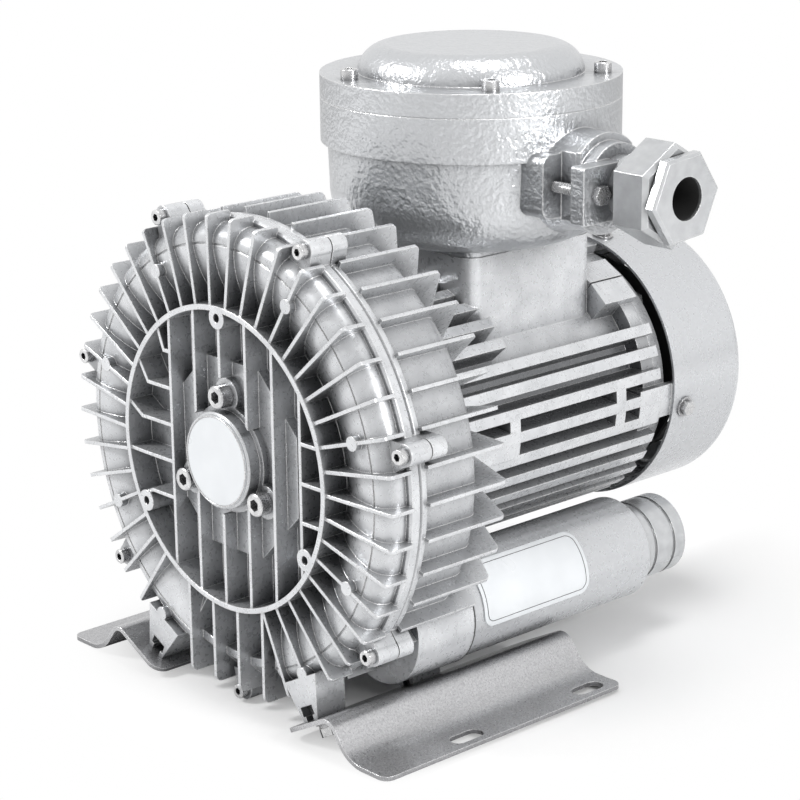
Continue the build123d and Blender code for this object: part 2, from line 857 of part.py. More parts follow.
with BuildPart() as right_nozzle:
    with BuildSketch(silencer_plane):
        with BuildLine():
            Polyline(
                (nozzle_bore, nozzle_front), (nozzle_seat, nozzle_front), (nozzle_seat, silencer_back),
                (nozzle_radius, silencer_back), (nozzle_radius, nozzle_back), (nozzle_bore, nozzle_back), close=True,
            )
        make_face()
        for place in (silencer_back + 8, nozzle_back - 10):
            with Locations((nozzle_radius, place)):
                Rectangle(2 * nozzle_groove, 2.5, mode=Mode.SUBTRACT)
    revolve(axis=silencer_axis)
finish(right_nozzle, "right_nozzle")

with BuildPart() as left_nozzle:
    mirror(right_nozzle.part, about=Plane.YZ)
finish(left_nozzle, "left_nozzle")

# Motor frame: barrel, flange, straight fins, side bars and pads, and the neck for the box
with BuildPart() as motor_frame:
    with BuildSketch():
        with BuildLine():
            Polyline(
                (motor_bore, motor_face), (fin_radius, motor_face), (fin_radius, motor_face + frame_flange),
                (barrel_outer, motor_face + frame_flange), (barrel_outer, frame_back - 10),
                (rear_ring, frame_back - 10), (rear_ring, frame_back), (motor_bore, frame_back), close=True,
            )
        make_face()
    revolve(axis=Axis.Y)
    frame_root = barrel_outer - 2
    with BuildSketch(from_front(frame_fins_front)):
        with PolarLocations(0, frame_fins, lowest_frame_fin, frame_fin_pitch * frame_fins):
            Polygon(
                (frame_root, -frame_fin_root / 2), (fin_radius, -frame_fin_tip / 2),
                (fin_radius, frame_fin_tip / 2), (frame_root, frame_fin_root / 2), align=None,
            )
        mirror(about=Plane.YZ)
    extrude(amount=frame_fins_front - frame_back)
    # Short fins in front of the neck, and the broad shoulders behind it
    first_top_fin = lowest_frame_fin + frame_fin_pitch * frame_fins
    with BuildSketch(from_front(frame_fins_front)):
        with PolarLocations(0, top_frame_fins, first_top_fin, frame_fin_pitch * top_frame_fins):
            Polygon(
                (frame_root, -frame_fin_root / 2), (fin_radius, -frame_fin_tip / 2),
                (fin_radius, frame_fin_tip / 2), (frame_root, frame_fin_root / 2), align=None,
            )
    extrude(amount=frame_fins_front - neck_front - neck_round)
    for angle in shoulder_angles:
        with BuildSketch(turned(angle, shoulder_front)):
            Polygon(
                (frame_root, -shoulder_root / 2), (fin_radius, -shoulder_tip / 2),
                (fin_radius, shoulder_tip / 2), (frame_root, shoulder_root / 2), align=None,
            )
        extrude(amount=shoulder_front - frame_back)
        with BuildSketch(turned(180 - angle, shoulder_front)):
            Polygon(
                (frame_root, -shoulder_root / 2), (fin_radius, -shoulder_tip / 2),
                (fin_radius, shoulder_tip / 2), (frame_root, shoulder_root / 2), align=None,
            )
        extrude(amount=shoulder_front - frame_back)
    # Bars and pads between the side fins, and the lugs that carry the cowl's edge
    fin_middle = (frame_root + fin_radius) / 2
    for start in (cross_bar_middle - cross_bar_half, 180 - cross_bar_middle - cross_bar_half):
        with BuildSketch(half_plane(start)):
            for place in cross_bars:
                with Locations((fin_middle, place)):
                    Rectangle(fin_radius - frame_root, cross_bar)
        revolve(axis=Axis.Y, revolution_arc=-2 * cross_bar_half)
    for middle in (side_pad_middle, 180 - side_pad_middle):
        with BuildSketch(turned(middle, side_pad_front)):
            with Locations((fin_middle, 0)):
                Rectangle(fin_radius - frame_root, 2 * side_pad_half)
        extrude(amount=side_pad_front - cross_bars[0])
    for lug in range(cowl_bolts):
        with BuildSketch(half_plane(cowl_bolt_angle + lug_lead + 90 * lug - lug_sweep / 2)):
            with Locations((fin_middle, (lug_front + frame_back) / 2)):
                Rectangle(fin_radius - frame_root, frame_back - lug_front)
        revolve(axis=Axis.Y, revolution_arc=-lug_sweep)
    with BuildSketch(Plane.XY.offset(neck_foot)):
        with Locations((0, neck_middle)):
            RectangleRounded(2 * neck_half, neck_length, neck_round)
    extrude(amount=neck_top - neck_foot)
    with Locations((0, neck_middle, neck_foot)):
        Box(2 * (neck_half - neck_wall), neck_length - 2 * neck_wall, neck_top - neck_wall - neck_foot,
            align=UP, mode=Mode.SUBTRACT)
    with Locations((0, box_place, neck_top)):
        Box(passage_x, passage_y, 2 * neck_wall, align=DOWN, mode=Mode.SUBTRACT)
    axial_rod(motor_bore, motor_face, frame_back, mode=Mode.SUBTRACT)
    with Locations(from_front(motor_face)):
        with PolarLocations(flange_bolt_radius, 4, 45):
            Cylinder(flange_thread / 2 + bolt_play, frame_flange, align=DOWN, mode=Mode.SUBTRACT)
    with Locations(from_front(frame_back)):
        with PolarLocations(shield_bolt_radius, 4, 45):
            Cylinder(shield_thread / 2 + tap_play, 12, align=UP, mode=Mode.SUBTRACT)
    with Locations((0, box_place, neck_top)):
        with GridLocations(box_bolt_x, box_bolt_y, 2, 2):
            Cylinder(box_thread / 2 + tap_play, neck_wall, align=DOWN, mode=Mode.SUBTRACT)
finish(motor_frame, "motor_frame")

flange_screw = socket_screw(flange_thread, frame_flange + 2 * flange_thread, flange_head)
with BuildPart() as flange_screws:
    with Locations(Plane(origin=(0, motor_face + frame_flange, 0), x_dir=(-1, 0, 0), z_dir=(0, 1, 0))):
        with PolarLocations(flange_bolt_radius, 4, 45):
            add(flange_screw)
finish(flange_screws, "flange_screws")

with BuildPart() as stator_core:
    with BuildSketch(from_front(stator_front)):
        Circle(motor_bore)
        Circle(stator_bore, mode=Mode.SUBTRACT)
        with PolarLocations((winding_inner + winding_outer) / 2, stator_slots):
            Rectangle(winding_outer - winding_inner - 4, winding_width, mode=Mode.SUBTRACT)
    extrude(amount=stator_front - stator_back)
finish(stator_core, "stator_core")

with BuildPart() as stator_windings:
    with BuildSketch(from_front(stator_front)):
        with PolarLocations((winding_inner + winding_outer) / 2, stator_slots):
            Rectangle(winding_outer - winding_inner - 4, winding_width)
    extrude(amount=stator_front - stator_back)
    for start in (stator_front - winding_reach, stator_back):
        with BuildSketch(from_front(start)):
            Circle(winding_outer)
            Circle(winding_inner, mode=Mode.SUBTRACT)
        extrude(amount=-winding_reach)
finish(stator_windings, "stator_windings")

# Bearings: each outer ring has a shield at both sides, and the inner ring turns
with BuildPart() as front_bearing_outer:
    add(axial_ring(bearing_outer, bearing_outer - race_wall, pad_front, bearing_back))
    for start in (pad_front, bearing_back - 0.8):
        add(axial_ring(bearing_outer - race_wall + 0.5, journal + race_wall + 2 * running_gap, start, start + 0.8))
finish(front_bearing_outer, "front_bearing_outer")

with BuildPart() as rear_bearing_ring:
    add(axial_ring(rear_bearing_outer, rear_bearing_outer - race_wall, rear_bearing_front, rear_bearing_back))
    for start in (rear_bearing_front, rear_bearing_back - 0.8):
        add(axial_ring(rear_bearing_outer - race_wall + 0.5, rear_journal + race_wall + 2 * running_gap,
                       start, start + 0.8))
finish(rear_bearing_ring, "rear_bearing_outer")

front_race = (journal + bearing_outer) / 2
with BuildPart() as front_bearing_balls:
    with Locations(from_front((pad_front + bearing_back) / 2)):
        with PolarLocations(front_race, ball_count):
            Sphere((bearing_outer - journal) / 2 - race_wall - ball_play)
finish(front_bearing_balls, "front_bearing_balls")

rear_race = (rear_journal + rear_bearing_outer) / 2
with BuildPart() as rear_bearing_balls:
    with Locations(from_front((rear_bearing_front + rear_bearing_back) / 2)):
        with PolarLocations(rear_race, ball_count):
            Sphere((rear_bearing_outer - rear_journal) / 2 - race_wall - ball_play)
finish(rear_bearing_balls, "rear_bearing_balls")

with BuildPart() as front_bearing_inner:
    axial_rod(journal + race_wall, pad_front, bearing_back)
    axial_rod(journal, pad_front, bearing_back, mode=Mode.SUBTRACT)
finish(front_bearing_inner, "front_bearing_inner")

with BuildPart() as rear_bearing_inner:
    axial_rod(rear_journal + race_wall, rear_bearing_front, rear_bearing_back)
    axial_rod(rear_journal, rear_bearing_front, rear_bearing_back, mode=Mode.SUBTRACT)
finish(rear_bearing_inner, "rear_bearing_inner")

with BuildPart() as shaft_seal:
    axial_rod(seal_radius, seal_front, wall_back)
    axial_rod(core_seat + running_gap, seal_front, wall_back, mode=Mode.SUBTRACT)
finish(shaft_seal, "shaft_seal")

# Shaft with the impeller's key, the impeller, the nut and the rotor core
key_length = impeller_back - impeller_front - 4
key_bottom = impeller_seat - key_height / 2
with BuildPart() as shaft:
    with BuildSketch():
        with BuildLine():
            Polyline(
                (0, shaft_front), (journal - 1, shaft_front), (journal, shaft_front + 1), (journal, bearing_back + 0.5),
                (impeller_seat, bearing_back + 0.5), (impeller_seat, impeller_back), (core_seat, impeller_back),
                (core_seat, stator_back + 10), (rear_journal + race_wall - 0.2, stator_back + 10),
                (rear_journal + race_wall - 0.2, rear_bearing_front), (rear_journal, rear_bearing_front),
                (rear_journal, shield_back + 2), (fan_seat, shield_back + 2), (fan_seat, shaft_end - 1),
                (fan_seat - 1, shaft_end), (0, shaft_end), close=True,
            )
        make_face()
    revolve(axis=Axis.Y)
    with Locations((0, impeller_front, key_bottom)):
        Box(key_width, key_length, key_height, align=(Align.CENTER, Align.MIN, Align.MIN), mode=Mode.SUBTRACT)
finish(shaft, "shaft")

with BuildPart() as impeller_key:
    with Locations((0, impeller_front, key_bottom)):
        Box(key_width, key_length, key_height, align=(Align.CENTER, Align.MIN, Align.MIN))
finish(impeller_key, "impeller_key")

impeller_radius = chamber_radius - chamber_play
blade_root = channel_radius - channel_bore
web_middle = (impeller_front + impeller_back) / 2
with BuildPart() as impeller:
    with BuildSketch():
        with BuildLine():
            Polyline(
                (impeller_seat, bearing_back), (impeller_seat + 2.5, bearing_back),
                (impeller_seat + 2.5, impeller_front), (impeller_hub + 4, impeller_front),
                (impeller_hub + 4, web_middle - impeller_web / 2), (blade_root - blade_margin, web_middle - impeller_web / 2),
                (blade_root - blade_margin, impeller_front), (blade_root, impeller_front),
                (blade_root, web_middle - impeller_web / 2), (impeller_radius, web_middle - impeller_web / 4),
                (impeller_radius, web_middle + impeller_web / 4), (blade_root, web_middle + impeller_web / 2),
                (blade_root, impeller_back), (blade_root - blade_margin, impeller_back),
                (blade_root - blade_margin, web_middle + impeller_web / 2), (impeller_hub + 4, web_middle + impeller_web / 2),
                (impeller_hub + 4, impeller_back), (impeller_seat, impeller_back), close=True,
            )
        make_face()
    revolve(axis=Axis.Y)
    with BuildSketch(from_front(impeller_front)):
        with PolarLocations((blade_root + impeller_radius) / 2 - 0.5, blade_count):
            Rectangle(impeller_radius - blade_root, blade_sheet)
    extrude(amount=impeller_front - impeller_back)
    with Locations((0, bearing_back, 0)):
        Box(key_width, impeller_back - bearing_back, key_bottom + key_height,
            align=(Align.CENTER, Align.MIN, Align.MIN), mode=Mode.SUBTRACT)
finish(impeller, "impeller")

with BuildPart() as shaft_nut:
    with BuildSketch(from_front(pad_front)):
        RegularPolygon(journal + 1.5, 6, major_radius=False)
        Circle(journal, mode=Mode.SUBTRACT)
    extrude(amount=nut_sheet)
finish(shaft_nut, "shaft_nut")

with BuildPart() as rotor_core:
    axial_rod(stator_bore - air_gap, stator_front, stator_back)
    axial_rod(stator_bore - 3, stator_front - 6, stator_back + 6)
    axial_rod(core_seat, stator_front - 6, stator_back + 6, mode=Mode.SUBTRACT)
finish(rotor_core, "rotor_core")

# Rear end shield with the cowl's lugs
bearing_hub = rear_bearing_outer + 6
with BuildPart() as rear_end_shield:
    with BuildSketch():
        with BuildLine():
            Polyline(
                (rear_journal + 1, rear_bearing_back), (rear_bearing_outer, rear_bearing_back),
                (rear_bearing_outer, rear_bearing_front), (bearing_hub, rear_bearing_front), (bearing_hub, frame_back),
                (motor_bore - 6, frame_back), (motor_bore - 6, frame_back - 7), (motor_bore - 0.1, frame_back - 7),
                (motor_bore - 0.1, frame_back), (rear_ring, frame_back), (rear_ring, shield_back),
                (rear_journal + 1, shield_back), close=True,
            )
        make_face()
    revolve(axis=Axis.Y)
    cowl_inner = cowl_radius - cowl_sheet
    for lug in range(cowl_bolts):
        with BuildSketch(half_plane(cowl_bolt_angle + lug_lead + 90 * lug - lug_sweep / 2)):
            with BuildLine():
                Polyline(
                    (rear_ring - 2, frame_back), (fin_radius, frame_back), (fin_radius, cowl_front),
                    (cowl_inner, cowl_front), (cowl_inner, lug_back), (lug_inner, lug_back),
                    (lug_inner, shield_back), (rear_ring - 2, shield_back), close=True,
                )
            make_face()
        revolve(axis=Axis.Y, revolution_arc=-lug_sweep)
    with Locations(from_front(shield_back)):
        with PolarLocations(shield_bolt_radius, 4, 45):
            Cylinder(shield_thread / 2 + bolt_play, shield_flange, align=UP, mode=Mode.SUBTRACT)
    with Locations(*[outward(cowl_bolt_angle + 90 * i, lug_inner - 1, cowl_screw_place) for i in range(cowl_bolts)]):
        Cylinder(cowl_thread / 2 + tap_play, 10, align=UP, mode=Mode.SUBTRACT)
finish(rear_end_shield, "rear_end_shield")

shield_screw = hex_screw(shield_thread, shield_flange + 1.6 * shield_thread, shield_head, shield_head_height)
with BuildPart() as shield_screws:
    with Locations(Plane(origin=(0, shield_back, 0), x_dir=(-1, 0, 0), z_dir=(0, 1, 0))):
        with PolarLocations(shield_bolt_radius, 4, 45):
            add(shield_screw)
finish(shield_screws, "shield_screws")

# Fan and its cowl
with BuildPart() as cooling_fan:
    axial_rod(fan_radius, fan_front, fan_front + fan_sheet)
    axial_rod(fan_hub, fan_front, fan_back)
    with BuildSketch(from_front(fan_front)):
        with PolarLocations((fan_hub + fan_radius) / 2 - 1, fan_blades):
            Rectangle(fan_radius - fan_hub, fan_sheet)
    extrude(amount=fan_front - fan_back)
    axial_rod(fan_seat, fan_front, fan_back, mode=Mode.SUBTRACT)
finish(cooling_fan, "cooling_fan")

with BuildPart() as fan_clip:
    axial_rod(fan_seat + 3, fan_back, fan_back + clip_sheet)
    axial_rod(fan_seat, fan_back, fan_back + clip_sheet, mode=Mode.SUBTRACT)
finish(fan_clip, "fan_clip")

with BuildPart() as fan_cowl:
    with BuildSketch():
        with BuildLine():
            Polyline((cowl_inner, cowl_front), (cowl_radius, cowl_front), (cowl_radius, cowl_back - cowl_round))
            CenterArc((cowl_radius - cowl_round, cowl_back - cowl_round), cowl_round, 0, 90)
            Polyline((cowl_radius - cowl_round, cowl_back), (0, cowl_back), (0, cowl_back - cowl_sheet),
                     (cowl_radius - cowl_round, cowl_back - cowl_sheet))
            CenterArc((cowl_radius - cowl_round, cowl_back - cowl_round), cowl_round - cowl_sheet, 0, 90)
            Line((cowl_inner, cowl_back - cowl_round), (cowl_inner, cowl_front))
        make_face()
    revolve(axis=Axis.Y)
    with BuildSketch(from_front(cowl_back)):
        for ring in reversed(range(grille_rings)):
            middle = grille_first + grille_pitch * ring
            Circle(middle + grille_slot / 2)
            Circle(middle - grille_slot / 2, mode=Mode.SUBTRACT)
        with PolarLocations(0, 4):
            Rectangle(2 * cowl_radius, grille_spoke, mode=Mode.SUBTRACT)
    extrude(amount=2 * cowl_sheet, mode=Mode.SUBTRACT)
    with Locations(*[outward(cowl_bolt_angle + 90 * i, lug_inner, cowl_screw_place) for i in range(cowl_bolts)]):
        Cylinder(cowl_thread / 2 + bolt_play, 10, align=UP, mode=Mode.SUBTRACT)
finish(fan_cowl, "fan_cowl")

with BuildPart() as cowl_washers:
    with Locations(*[outward(cowl_bolt_angle + 90 * i, cowl_radius, cowl_screw_place) for i in range(cowl_bolts)]):
        Cylinder(cowl_washer_radius, cowl_washer, align=UP)
        Cylinder(cowl_thread / 2 + bolt_play, cowl_washer, align=UP, mode=Mode.SUBTRACT)
finish(cowl_washers, "cowl_washers")

screw_seat = cowl_radius + cowl_washer
cowl_screw = hex_screw(cowl_thread, screw_seat - lug_inner, cowl_head, cowl_head_height)
with BuildPart() as cowl_screws:
    with Locations(*[outward(cowl_bolt_angle + 90 * i, screw_seat, cowl_screw_place) for i in range(cowl_bolts)]):
        add(cowl_screw)
finish(cowl_screws, "cowl_screws")

# Terminal box: a rounded base, a tapered round body, a heavy ring and the spout for the gland
box_axis = Axis((0, box_place, 0), (0, 0, 1))
spout_axis = Axis((0, box_place, gland_height), (1, 0, 0))
with BuildPart() as terminal_box:
    with BuildSketch(Plane.XY.offset(neck_top)):
        with Locations((0, neck_middle)):
            RectangleRounded(2 * (neck_half - box_seam), neck_length - 2 * box_seam, neck_round)
    extrude(amount=box_floor - neck_top)
    with BuildSketch(from_front(box_place)):
        with BuildLine():
            Line((0, box_belly_bottom), (box_belly - box_belly_round, box_belly_bottom))
            CenterArc((box_belly - box_belly_round, box_belly_bottom + box_belly_round), box_belly_round, 270, 90)
            Polyline((box_belly, box_belly_bottom + box_belly_round), (box_waist, box_step), (box_radius, box_step),
                     (box_radius, box_top), (0, box_top), (0, box_belly_bottom))
        make_face()
    revolve(axis=box_axis)
    # The spout swells where it leaves the body
    with BuildSketch(from_front(box_place)):
        with BuildLine():
            Polyline(
                (spout_straight, gland_height + spout_radius), (spout_end, gland_height + spout_radius),
                (spout_end, gland_height), (spout_start, gland_height), (spout_start, gland_height + spout_root),
            )
            TangentArc((spout_straight, gland_height + spout_radius), (spout_start, gland_height + spout_root),
                       tangent=(-1, 0))
        make_face()
    revolve(axis=spout_axis)
    with BuildSketch(facing_right(box_inner)):
        RectangleRounded(2 * boss_half_y, 2 * boss_half_z, boss_corner)
    extrude(amount=boss_end - box_inner)
    for side in (-1, 1):
        with Locations((boss_end, box_place + side * spout_half, gland_height)):
            Box(plate_start - boss_end, boss_half_y, 2 * (boss_half_z + 2),
                align=(Align.MIN, Align.MIN if side > 0 else Align.MAX, Align.CENTER), mode=Mode.SUBTRACT)
    with Locations((0, box_place, box_floor)):
        Cylinder(box_inner, box_top - box_floor, align=UP, mode=Mode.SUBTRACT)
    with Locations((0, box_place, gland_height)):
        Cylinder(spout_bore, spout_end, rotation=ACROSS, align=UP, mode=Mode.SUBTRACT)
    with Locations((0, box_place, box_floor)):
        Box(passage_x, passage_y, box_floor - neck_top, align=DOWN, mode=Mode.SUBTRACT)
        with GridLocations(box_bolt_x, box_bolt_y, 2, 2):
            Cylinder(box_thread / 2 + bolt_play, box_floor - neck_top, align=DOWN, mode=Mode.SUBTRACT)
    with Locations((0, box_place, box_top)):
        with PolarLocations(lid_bolt_circle, lid_bolts, lid_bolt_angle):
            Cylinder(lid_thread / 2 + tap_play, lid_thread_depth + 2, align=DOWN, mode=Mode.SUBTRACT)
    with Locations(facing_right(boss_end)):
        with GridLocations(2 * plate_bolt, 0, 2, 1):
            Cylinder(plate_thread / 2 + tap_play, 2 * plate_thread + 1, align=DOWN, mode=Mode.SUBTRACT)
finish(terminal_box, "terminal_box")

box_screw = socket_screw(box_thread, box_floor - neck_top + neck_wall - 1, box_head)
with BuildPart() as box_screws:
    with Locations((0, box_place, box_floor)):
        with GridLocations(box_bolt_x, box_bolt_y, 2, 2):
            add(box_screw)
finish(box_screws, "box_screws")

spigot_outer = box_inner - spigot_gap
with BuildPart() as terminal_lid:
    with BuildSketch(from_front(box_place)):
        with BuildLine():
            Polyline((0, dome_top - lid_wall), (0, dome_top), (dome_crown, dome_top))
            ThreePointArc((dome_crown, dome_top), (dome_radius - 5.3, dome_top - 4.6), (dome_radius, lid_top))
            Polyline(
                (dome_radius, lid_top), (box_radius, lid_top), (box_radius, box_top), (spigot_outer, box_top),
                (spigot_outer, box_top - lid_spigot), (spigot_outer - lid_wall, box_top - lid_spigot),
                (dome_radius - lid_wall, lid_top - 4), (dome_crown - 2, dome_top - lid_wall), (0, dome_top - lid_wall),
            )
        make_face()
    revolve(axis=box_axis)
    with Locations((0, box_place, lid_top)):
        with PolarLocations(lid_bolt_circle, lid_bolts, lid_bolt_angle):
            Cylinder(lid_thread / 2 + bolt_play, lid_top - box_top, align=DOWN, mode=Mode.SUBTRACT)
finish(terminal_lid, "terminal_lid")

lid_screw = socket_screw(lid_thread, lid_top - box_top + lid_thread_depth, lid_head)
with BuildPart() as lid_screws:
    with Locations((0, box_place, lid_top)):
        with PolarLocations(lid_bolt_circle, lid_bolts, lid_bolt_angle):
            add(lid_screw)
finish(lid_screws, "lid_screws")

with BuildPart() as terminal_board:
    with Locations((0, box_place, box_floor)):
        Box(board_length, board_width, board_sheet, align=UP)
        with GridLocations(stud_pitch, stud_rows, 3, 2):
            Cylinder(stud_thread / 2, board_sheet, align=UP, mode=Mode.SUBTRACT)
finish(terminal_board, "terminal_board")

with BuildPart() as terminal_studs:
    with Locations((0, box_place, box_floor + board_sheet)):
        with GridLocations(stud_pitch, stud_rows, 3, 2):
            add(hex_screw(stud_thread, board_sheet, stud_head, stud_head_height))
            Cylinder(stud_thread / 2, stud_height - board_sheet, align=UP)
finish(terminal_studs, "terminal_studs")

# Cable gland: the bolted flange, the screwed body, the seal and the cap
with BuildPart() as gland_flange:
    with Locations(facing_right(spout_end)):
        Cylinder(collar_radius, collar_end - spout_end, align=UP)
        Cylinder(barrel_radius, plate_start - spout_end, align=UP)
    for side in (-1, 1):
        with Locations((spout_end, box_place + side * spout_half, gland_height)):
            Box(plate_start - spout_end, boss_half_y, 2 * (boss_half_z + 2),
                align=(Align.MIN, Align.MIN if side > 0 else Align.MAX, Align.CENTER), mode=Mode.SUBTRACT)
    with BuildSketch(facing_right(plate_start)):
        RectangleRounded(2 * plate_half_y, 2 * plate_half_z, plate_round)
    extrude(amount=plate_end - plate_start)
    with Locations(facing_right(spout_end)):
        Cylinder(thread_radius, plate_end - spout_end, align=UP, mode=Mode.SUBTRACT)
        with GridLocations(2 * plate_bolt, 0, 2, 1):
            Cylinder(plate_thread / 2 + bolt_play, plate_end - spout_end, align=UP, mode=Mode.SUBTRACT)
finish(gland_flange, "gland_flange")

plate_screw = hex_screw(plate_thread, plate_end - boss_end + 2 * plate_thread, plate_head, plate_head_height)
with BuildPart() as gland_screws:
    with Locations(facing_right(plate_end)):
        with GridLocations(2 * plate_bolt, 0, 2, 1):
            add(plate_screw)
finish(gland_screws, "gland_screws")

with BuildPart() as gland_body:
    with BuildSketch(facing_right(gland_hex_start)):
        RegularPolygon(gland_hex / 2, 6, major_radius=False, rotation=30)
    extrude(amount=gland_hex_end - gland_hex_start)
    chamfer(gland_body.edges().group_by(Axis.X)[-1], gland_bevel)
    with Locations(facing_right(plate_end)):
        Cylinder(gland_neck, gland_hex_start - plate_end, align=UP)
    with Locations(facing_right(thread_start)):
        Cylinder(thread_radius, thread_end - thread_start, align=UP)
        Cylinder(gland_bore, thread_end - thread_start, align=UP, mode=Mode.SUBTRACT)
finish(gland_body, "gland_body")

with BuildPart() as gland_seal:
    with Locations(facing_right(gland_seal_start)):
        Cylinder(gland_bore, gland_seal_end - gland_seal_start, align=UP)
        Cylinder(cable_radius, gland_seal_end - gland_seal_start, align=UP, mode=Mode.SUBTRACT)
finish(gland_seal, "gland_seal")

cap_start = gland_hex_end + cap_gap
with BuildPart() as gland_cap:
    with BuildSketch(facing_right(cap_start)):
        RegularPolygon(cap_hex / 2, 6, major_radius=False, rotation=cap_turn)
    extrude(amount=cap_end - cap_start)
    chamfer(gland_cap.edges().group_by(Axis.X)[-1], cap_bevel)
    with Locations(facing_right(cap_start)):
        Cylinder(thread_radius, gland_seal_end - cap_start, align=UP, mode=Mode.SUBTRACT)
        Cylinder(cable_radius, cap_end - cap_start, align=UP, mode=Mode.SUBTRACT)
finish(gland_cap, "gland_cap")

# The blank label plate follows the right silencer's round
label_turn = radians(label_middle)
label_plane = Plane(
    origin=(silencer_x, (label_start + label_end) / 2, silencer_z),
    x_dir=(0, 1, 0), z_dir=(cos(label_turn), 0, sin(label_turn)),
)
with BuildPart() as label_plate:
    with BuildSketch(silencer_plane):
        with Locations((silencer_radius, (label_start + label_end) / 2)):
            Rectangle(label_sheet, label_end - label_start, align=(Align.MIN, Align.CENTER))
    revolve(axis=silencer_axis)
    with BuildSketch(label_plane):
        RectangleRounded(label_end - label_start, 2 * label_half_width, label_round)
    extrude(amount=silencer_radius + 2 * label_sheet, mode=Mode.INTERSECT)
finish(label_plate, "label_plate")
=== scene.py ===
import json
import math
import bpy
from mathutils import Matrix, Vector


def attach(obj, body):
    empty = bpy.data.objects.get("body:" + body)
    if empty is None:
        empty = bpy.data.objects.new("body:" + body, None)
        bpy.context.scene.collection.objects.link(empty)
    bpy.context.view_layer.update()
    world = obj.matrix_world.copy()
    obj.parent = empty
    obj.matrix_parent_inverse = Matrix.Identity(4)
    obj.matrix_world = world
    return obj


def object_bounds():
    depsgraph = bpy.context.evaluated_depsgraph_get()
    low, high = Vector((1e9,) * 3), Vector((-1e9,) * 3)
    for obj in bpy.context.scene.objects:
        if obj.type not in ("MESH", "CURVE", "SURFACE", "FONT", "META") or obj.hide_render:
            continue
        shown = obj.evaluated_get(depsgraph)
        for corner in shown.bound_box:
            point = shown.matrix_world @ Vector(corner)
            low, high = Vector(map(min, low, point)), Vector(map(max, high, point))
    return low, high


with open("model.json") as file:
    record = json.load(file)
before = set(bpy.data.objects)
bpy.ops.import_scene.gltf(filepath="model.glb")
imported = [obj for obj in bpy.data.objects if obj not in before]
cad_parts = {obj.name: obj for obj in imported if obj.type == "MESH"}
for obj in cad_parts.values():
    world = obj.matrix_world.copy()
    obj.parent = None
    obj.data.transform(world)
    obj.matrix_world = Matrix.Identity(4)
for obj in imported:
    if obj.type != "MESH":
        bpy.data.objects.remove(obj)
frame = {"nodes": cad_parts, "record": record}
cad_box = [list(corner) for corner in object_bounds()]

# The right silencer's outer radius, and its axis at the label's middle
SILENCER_ROUND = 0.0305
SILENCER_MIDDLE = (0.070, 0.145, -0.0925)
# How far the label is turned up from level round the silencer, and its thickness
LABEL_TURN = math.radians(25.5)
LABEL_SHEET = 0.0008
# The cover side end of the gland flange's first screw, and the way to the second
SCREW_START = (0.0925, 0.1655, 0.141)
SCREW_SPACING = 0.051
# Aim of the camera, and its distance from there
CAMERA_AIM = Vector((0.0, 0.13323, 0.0065))
CAMERA_DISTANCE = 1.43358


# The camera stands low on the front right, as for the photograph
def place_camera():
    turn, lift, roll = 0.82986, 0.28852, -0.01034
    level = math.cos(lift)
    back = Vector((math.sin(turn) * level, -math.cos(turn) * level, math.sin(lift)))
    right = Vector((math.cos(turn), math.sin(turn), 0.0))
    up = back.cross(right)
    right, up = (math.cos(roll) * right + math.sin(roll) * up,
                 -math.sin(roll) * right + math.cos(roll) * up)
    stand = CAMERA_AIM + back * CAMERA_DISTANCE
    lens = bpy.data.cameras.new("camera")
    lens.sensor_width = 36.0
    lens.lens = 111.24
    lens.clip_start = 0.05
    lens.clip_end = 50.0
    camera = bpy.data.objects.new("camera", lens)
    bpy.context.scene.collection.objects.link(camera)
    turned = Matrix((right, up, back)).transposed().to_4x4()
    turned.translation = stand
    camera.matrix_world = turned
    bpy.context.scene.camera = camera


def soft_light(name, place, aim, width, height, power):
    lamp = bpy.data.lights.new(name, "AREA")
    lamp.shape = "RECTANGLE"
    lamp.size = width
    lamp.size_y = height
    lamp.energy = power
    lamp_object = bpy.data.objects.new(name, lamp)
    bpy.context.scene.collection.objects.link(lamp_object)
    lamp_object.location = place
    lamp_object.rotation_euler = (Vector(aim) - Vector(place)).to_track_quat("-Z", "Y").to_euler()


def light_studio():
    world = bpy.data.worlds.new("studio")
    bpy.context.scene.world = world
    world.use_nodes = True
    tree = world.node_tree
    tree.nodes.clear()
    out = tree.nodes.new("ShaderNodeOutputWorld")
    seen = tree.nodes.new("ShaderNodeBackground")
    seen.inputs["Color"].default_value = (1.0, 1.0, 1.0, 1.0)
    around = tree.nodes.new("ShaderNodeBackground")
    around.inputs["Strength"].default_value = 0.45
    mix = tree.nodes.new("ShaderNodeMixShader")
    ray = tree.nodes.new("ShaderNodeLightPath")
    mirrored = tree.nodes.new("ShaderNodeMath")
    mirrored.operation = "ADD"
    shown = tree.nodes.new("ShaderNodeMath")
    shown.operation = "ADD"
    shown.use_clamp = True
    tree.links.new(ray.outputs["Is Glossy Ray"], mirrored.inputs[0])
    tree.links.new(ray.outputs["Is Transmission Ray"], mirrored.inputs[1])
    tree.links.new(ray.outputs["Is Camera Ray"], shown.inputs[0])
    tree.links.new(mirrored.outputs["Value"], shown.inputs[1])
    tree.links.new(shown.outputs["Value"], mix.inputs["Fac"])
    tree.links.new(around.outputs["Background"], mix.inputs[1])
    tree.links.new(seen.outputs["Background"], mix.inputs[2])
    tree.links.new(mix.outputs["Shader"], out.inputs["Surface"])
    soft_light("key light", (-1.3, -1.4, 1.5), (0.0, 0.1, 0.0), 0.5, 0.5, 40.0)
    soft_light("side light", (2.2, 0.3, 0.9), (0.0, 0.2, 0.02), 0.5, 0.8, 37.0)
    soft_light("top light", (0.2, 0.3, 2.2), (0.0, 0.15, 0.0), 0.8, 0.8, 17.0)


